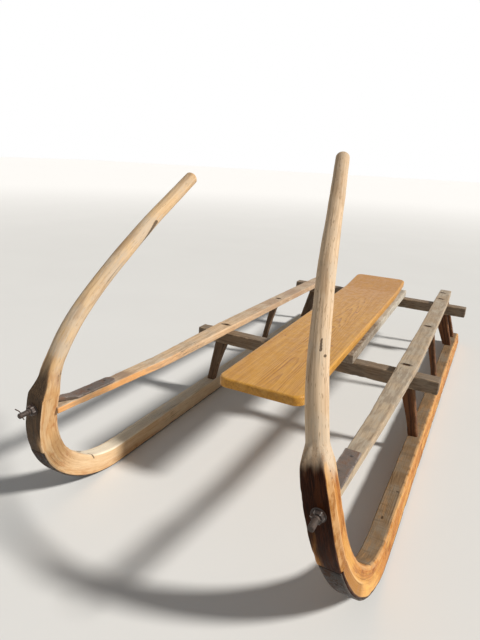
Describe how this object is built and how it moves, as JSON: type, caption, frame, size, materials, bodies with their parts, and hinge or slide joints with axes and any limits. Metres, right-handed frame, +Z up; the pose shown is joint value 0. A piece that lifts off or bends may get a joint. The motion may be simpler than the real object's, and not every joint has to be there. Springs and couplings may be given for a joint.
{
  "type": "horn sled",
  "caption": "Wooden horn sled: grown runner crooks rise into curved handle horns, joined by rails, posts and crossbeams, with iron shoes, drawbolts and a plank seat.",
  "frame": {"origin": "on the ground, in the middle of the sled's length and width", "axes": "+Y from the horns to the rear, +X to the sled's left (the longer horn's side), +Z up"},
  "size_m": [0.992, 2.41, 1.0354],
  "materials": {
    "crook_wood": "weathered, worn smooth",
    "rail_wood": "weathered",
    "post_wood": "dark stain",
    "beam_wood": "weathered",
    "seat_wood": "varnished",
    "under_wood": "weathered grey",
    "shoe_iron": "rusty",
    "bolt_iron": "dark rust"
  },
  "bodies": {
    "root": {"crook_left": "crook_wood", "crook_right": "crook_wood", "crossbeam_front": "beam_wood", "crossbeam_rear": "beam_wood", "drawbolt_left": "bolt_iron", "drawbolt_right": "bolt_iron", "nut_left": "bolt_iron", "nut_right": "bolt_iron", "post_front_left": "post_wood", "post_front_right": "post_wood", "post_middle_left": "post_wood", "post_middle_right": "post_wood", "post_rear_left": "post_wood", "post_rear_right": "post_wood", "post_tail_left": "post_wood", "post_tail_right": "post_wood", "rail_left": "rail_wood", "rail_right": "rail_wood", "seat_board": "seat_wood", "shoe_left": "shoe_iron", "shoe_right": "shoe_iron", "under_board": "under_wood", "washer_left": "bolt_iron", "washer_right": "bolt_iron"}
  },
  "joints": []
}
